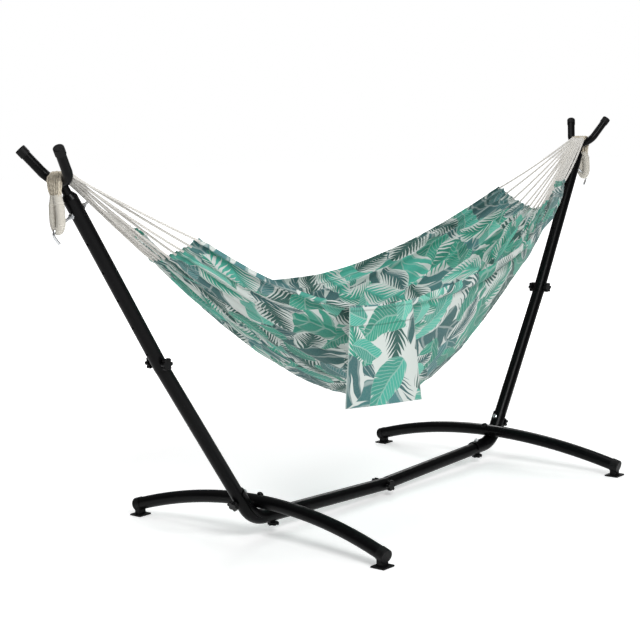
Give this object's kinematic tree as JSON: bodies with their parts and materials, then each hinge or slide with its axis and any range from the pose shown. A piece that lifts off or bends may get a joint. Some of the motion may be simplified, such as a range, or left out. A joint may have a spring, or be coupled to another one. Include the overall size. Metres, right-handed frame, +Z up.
{
  "type": "hammock on stand",
  "caption": "Gathered cloth hammock with a side pocket, hung by cords and rope eyes from a bolted black steel tube stand with forked arms and curved legs.",
  "frame": {"origin": "on the floor under the middle of the stand", "axes": "+X along the beam to the right-hand arm, +Y from the pocket side to the other side, +Z up"},
  "size_m": [2.786, 1.106, 1.2612],
  "materials": {
    "black_steel": "satin black powder coat",
    "cap_rubber": "matt black moulded caps and foot plates",
    "knob_plastic": "fine-grained black nylon",
    "zinc_steel": "bright zinc plating",
    "rope": "twisted natural cotton rope",
    "cord": "thin natural cotton cord",
    "printed_cloth": "woven cotton with a printed tropical leaf pattern"
  },
  "bodies": {
    "stand": {"lower_tube_left": "black_steel", "lower_tube_right": "black_steel", "upper_arm_left": "black_steel", "upper_arm_right": "black_steel", "fork_left": "black_steel", "fork_right": "black_steel", "fork_caps_left": "cap_rubber", "fork_caps_right": "cap_rubber", "leg_left": "black_steel", "leg_right": "black_steel", "leg_caps_left": "cap_rubber", "leg_caps_right": "cap_rubber", "feet_left": "cap_rubber", "feet_right": "cap_rubber", "bracket_left": "black_steel", "bracket_right": "black_steel", "leg_bolt_left": "knob_plastic", "leg_bolt_right": "knob_plastic", "bracket_bolts_left": "zinc_steel", "bracket_bolts_right": "zinc_steel", "hook_left": "zinc_steel", "hook_right": "zinc_steel", "hook_washers_left": "zinc_steel", "hook_washers_right": "zinc_steel", "eye_strands_left": "rope", "eye_strands_right": "rope", "eye_loop_left": "rope", "eye_loop_right": "rope"},
    "hammock": {"bed": "printed_cloth", "end_cords_left": "cord", "end_cords_right": "cord"},
    "pocket": {"pocket": "printed_cloth"},
    "arm_screw_left": {"arm_screw_left": "zinc_steel", "arm_knob_left": "knob_plastic"},
    "arm_nut_left": {"arm_nut_knob_left": "knob_plastic"},
    "arm_screw_right": {"arm_screw_right": "zinc_steel", "arm_knob_right": "knob_plastic"},
    "arm_nut_right": {"arm_nut_knob_right": "knob_plastic"},
    "beam_screw": {"beam_screw": "zinc_steel", "beam_knob": "knob_plastic"},
    "beam_nut": {"beam_nut_knob": "knob_plastic"},
    "floor_knob_left": {"floor_knob_left": "knob_plastic"},
    "outer_knob_left": {"outer_knob_left": "knob_plastic"},
    "hook_nut_left": {"hook_nut_left": "zinc_steel"},
    "floor_knob_right": {"floor_knob_right": "knob_plastic"},
    "outer_knob_right": {"outer_knob_right": "knob_plastic"},
    "hook_nut_right": {"hook_nut_right": "zinc_steel"}
  },
  "joints": [
    {"name": "hammock_swing", "type": "hinge", "parent": "stand", "child": "hammock", "pos_m": [0, 0, 1.16405], "axis": [1, 0, 0], "range_deg": [-35, 35]},
    {"name": "pocket_flap", "type": "hinge", "parent": "hammock", "child": "pocket", "pos_m": [-0.43, -0.3792, 0.744], "axis": [0.9653, -0.2612, 0], "range_deg": [-30, 0]},
    {"name": "arm_screw_turn_left", "type": "hinge", "parent": "stand", "child": "arm_screw_left", "pos_m": [-0.99882, 0, 0.61212], "axis": [0, 1, 0], "continuous": true},
    {"name": "arm_nut_turn_left", "type": "hinge", "parent": "stand", "child": "arm_nut_left", "pos_m": [-0.99882, 0, 0.61212], "axis": [0, 1, 0], "continuous": true},
    {"name": "arm_screw_turn_right", "type": "hinge", "parent": "stand", "child": "arm_screw_right", "pos_m": [0.99882, 0, 0.61212], "axis": [0, 1, 0], "continuous": true},
    {"name": "arm_nut_turn_right", "type": "hinge", "parent": "stand", "child": "arm_nut_right", "pos_m": [0.99882, 0, 0.61212], "axis": [0, 1, 0], "continuous": true},
    {"name": "beam_screw_turn", "type": "hinge", "parent": "stand", "child": "beam_screw", "pos_m": [0, 0, 0.037], "axis": [0, 1, 0], "continuous": true},
    {"name": "beam_nut_turn", "type": "hinge", "parent": "stand", "child": "beam_nut", "pos_m": [0, 0, 0.037], "axis": [0, 1, 0], "continuous": true},
    {"name": "floor_knob_turn_left", "type": "hinge", "parent": "stand", "child": "floor_knob_left", "pos_m": [-0.55207, 0, 0.05833], "axis": [-0.0386, 0, -0.9993], "continuous": true},
    {"name": "outer_knob_turn_left", "type": "hinge", "parent": "stand", "child": "outer_knob_left", "pos_m": [-0.69818, 0, 0.14203], "axis": [-0.8425, 0, -0.5388], "continuous": true},
    {"name": "hook_nut_turn_left", "type": "hinge", "parent": "stand", "child": "hook_nut_left", "pos_m": [-1.26501, 0, 1.07504], "axis": [-0.8669, 0, -0.4985], "continuous": true},
    {"name": "floor_knob_turn_right", "type": "hinge", "parent": "stand", "child": "floor_knob_right", "pos_m": [0.55207, 0, 0.05833], "axis": [0.0386, 0, -0.9993], "continuous": true},
    {"name": "outer_knob_turn_right", "type": "hinge", "parent": "stand", "child": "outer_knob_right", "pos_m": [0.69818, 0, 0.14203], "axis": [0.8425, 0, -0.5388], "continuous": true},
    {"name": "hook_nut_turn_right", "type": "hinge", "parent": "stand", "child": "hook_nut_right", "pos_m": [1.26501, 0, 1.07504], "axis": [0.8669, 0, -0.4985], "continuous": true}
  ]
}
